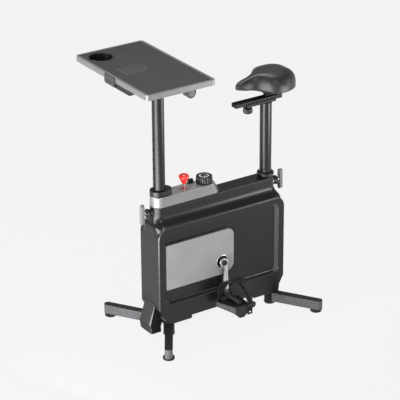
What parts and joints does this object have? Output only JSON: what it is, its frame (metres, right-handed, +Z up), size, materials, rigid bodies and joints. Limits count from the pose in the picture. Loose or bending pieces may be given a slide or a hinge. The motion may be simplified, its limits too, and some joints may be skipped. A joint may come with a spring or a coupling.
{
  "type": "folding desk exercise bike",
  "caption": "Folding exercise bike with a flat desk on its front post, saddle on its rear post, slim housing with pedals low at its sides, and swing-out legs.",
  "frame": {"origin": "centre of the bounding box in plan, on the floor plane", "axes": "+X is the way the rider faces, +Y the rider's left, +Z up"},
  "size_m": [0.7927, 0.4868, 1.064],
  "materials": {
    "housing_black": "fine satin texture",
    "toe_black": "satin",
    "plate_silver": "silver lacquer",
    "post_black": "semi-gloss",
    "frame_steel": "plain",
    "leg_grey": "satin",
    "rubber_black": "matt",
    "trim_black": "satin",
    "bright_metal": "polished",
    "knob_red": "gloss",
    "desk_charcoal": "fine texture",
    "desk_rim_grey": "satin",
    "latch_grey": "satin",
    "saddle_slate": "soft satin"
  },
  "bodies": {
    "frame": {"left_shell": "housing_black", "right_shell": "housing_black", "left_side_plate": "plate_silver", "right_side_plate": "plate_silver", "front_toe_block": "toe_black", "rear_toe_block": "toe_black", "console_cover": "plate_silver", "front_collar": "trim_black", "rear_collar": "trim_black", "front_guide_tube": "frame_steel", "rear_guide_tube": "frame_steel", "base_beam": "frame_steel", "drive_frame": "frame_steel", "front_leg_bracket": "trim_black", "rear_leg_bracket": "trim_black", "left_crank_bearing": "bright_metal", "right_crank_bearing": "bright_metal", "flywheel_axle": "bright_metal", "drive_belt": "rubber_black"},
    "front_left_leg_body": {"front_left_leg": "leg_grey", "front_left_foot": "rubber_black"},
    "front_right_leg_body": {"front_right_leg": "leg_grey", "front_right_foot": "rubber_black"},
    "rear_left_leg_body": {"rear_left_leg": "leg_grey", "rear_left_foot": "rubber_black"},
    "rear_right_leg_body": {"rear_right_leg": "leg_grey", "rear_right_foot": "rubber_black"},
    "crank": {"crank_axle": "frame_steel", "drive_pulley": "trim_black", "left_crank": "bright_metal", "right_crank": "bright_metal", "left_pedal_spindle": "bright_metal", "right_pedal_spindle": "bright_metal"},
    "left_pedal_body": {"left_pedal": "trim_black", "left_toe_strap": "rubber_black"},
    "right_pedal_body": {"right_pedal": "trim_black", "right_toe_strap": "rubber_black"},
    "flywheel_body": {"flywheel": "frame_steel"},
    "brake": {"brake_knob": "knob_red", "brake_stem": "bright_metal"},
    "resistance_knob_body": {"resistance_knob": "trim_black"},
    "magnet_arm_body": {"magnet_arm": "frame_steel"},
    "console_switch_body": {"console_switch": "trim_black"},
    "front_lock": {"front_lock_knob": "latch_grey"},
    "rear_lock": {"rear_lock_knob": "latch_grey"},
    "desk_post_body": {"desk_post": "post_black", "desk_head": "post_black"},
    "desk": {"desk_crossbar": "latch_grey", "desk_rim": "desk_rim_grey", "desk_top": "desk_charcoal", "cup_insert": "trim_black", "desk_latch": "latch_grey"},
    "tablet_flap_body": {"tablet_flap": "latch_grey"},
    "release_bar_body": {"release_bar": "trim_black"},
    "saddle_post_body": {"saddle_post": "post_black", "saddle_bracket": "trim_black"},
    "saddle": {"saddle_rail": "trim_black", "saddle_pan": "trim_black", "saddle_cushion": "saddle_slate"},
    "saddle_clamp": {"saddle_clamp_knob": "trim_black"}
  },
  "joints": [
    {"name": "front_left_leg_fold", "type": "hinge", "parent": "frame", "child": "front_left_leg_body", "pos_m": [0.1916, 0.045, 0.03], "axis": [0, 0, 1], "range_deg": [0, 123]},
    {"name": "front_right_leg_fold", "type": "hinge", "parent": "frame", "child": "front_right_leg_body", "pos_m": [0.1916, -0.045, 0.03], "axis": [0, 0, 1], "range_deg": [-123, 0]},
    {"name": "rear_left_leg_fold", "type": "hinge", "parent": "frame", "child": "rear_left_leg_body", "pos_m": [-0.2704, 0.045, 0.03], "axis": [0, 0, 1], "range_deg": [-123, 0]},
    {"name": "rear_right_leg_fold", "type": "hinge", "parent": "frame", "child": "rear_right_leg_body", "pos_m": [-0.2704, -0.045, 0.03], "axis": [0, 0, 1], "range_deg": [0, 123]},
    {"name": "flywheel_spin", "type": "hinge", "parent": "frame", "child": "flywheel_body", "pos_m": [0.0756, 0, 0.28], "axis": [0, 1, 0], "continuous": true},
    {"name": "crank_spin", "type": "hinge", "parent": "frame", "child": "crank", "pos_m": [-0.0384, 0, 0.244], "axis": [0, 1, 0], "continuous": true},
    {"name": "left_pedal_spin", "type": "hinge", "parent": "crank", "child": "left_pedal_body", "pos_m": [-0.04968, 0.133, 0.11248], "axis": [0, 1, 0], "continuous": true},
    {"name": "right_pedal_spin", "type": "hinge", "parent": "crank", "child": "right_pedal_body", "pos_m": [-0.02712, -0.133, 0.37552], "axis": [0, 1, 0], "continuous": true},
    {"name": "brake_press", "type": "slide", "parent": "frame", "child": "brake", "axis": [0, 0, 1], "range_m": [-0.012, 0], "stiffness_N_per_m": 400, "springref_m": 0.012},
    {"name": "resistance_turn", "type": "hinge", "parent": "frame", "child": "resistance_knob_body", "pos_m": [0.0006, 0, 0.57], "axis": [0, 0, 1], "range_deg": [-270, 0]},
    {"name": "magnet_arm_swing", "type": "hinge", "parent": "frame", "child": "magnet_arm_body", "pos_m": [-0.00746, 0, 0.34259], "axis": [0, 1, 0], "range_deg": [0, 4.1]},
    {"name": "console_switch_press", "type": "slide", "parent": "frame", "child": "console_switch_body", "axis": [0, 0, 1], "range_m": [-0.003, 0], "stiffness_N_per_m": 300, "springref_m": 0.002},
    {"name": "front_lock_turn", "type": "hinge", "parent": "frame", "child": "front_lock", "pos_m": [0.2476, 0, 0.494], "axis": [1, 0, 0], "range_deg": [0, 360]},
    {"name": "rear_lock_turn", "type": "hinge", "parent": "frame", "child": "rear_lock", "pos_m": [-0.3264, 0, 0.486], "axis": [1, 0, 0], "range_deg": [0, 360]},
    {"name": "desk_height", "type": "slide", "parent": "frame", "child": "desk_post_body", "axis": [0, 0, 1], "range_m": [-0.222, 0]},
    {"name": "desk_tilt", "type": "hinge", "parent": "desk_post_body", "child": "desk", "pos_m": [0.2109, 0, 1.0345], "axis": [0, 1, 0], "range_deg": [0, 80]},
    {"name": "tablet_flip", "type": "hinge", "parent": "desk", "child": "tablet_flap_body", "pos_m": [0.3406, -0.0085, 1.06065], "axis": [0, 1, 0], "range_deg": [0, 105]},
    {"name": "release_bar_squeeze", "type": "hinge", "parent": "desk", "child": "release_bar_body", "pos_m": [0.3815, 0.036, 1.0339], "axis": [0, 0, 1], "range_deg": [0, 12], "stiffness_Nm_per_rad": 0.5, "springref_deg": -5.73},
    {"name": "saddle_height", "type": "slide", "parent": "frame", "child": "saddle_post_body", "axis": [0, 0, 1], "range_m": [-0.185, 0]},
    {"name": "saddle_slide", "type": "slide", "parent": "saddle_post_body", "child": "saddle", "axis": [1, 0, 0], "range_m": [-0.02, 0.03]},
    {"name": "saddle_clamp_turn", "type": "hinge", "parent": "saddle_post_body", "child": "saddle_clamp", "pos_m": [-0.1944, 0, 0.8], "axis": [0, 0, 1], "range_deg": [0, 360]}
  ],
  "couplings": [
    {"joint": "crank_spin", "follows": "flywheel_spin", "ratio": 0.25},
    {"joint": "magnet_arm_swing", "follows": "resistance_turn", "ratio": -0.0148}
  ]
}
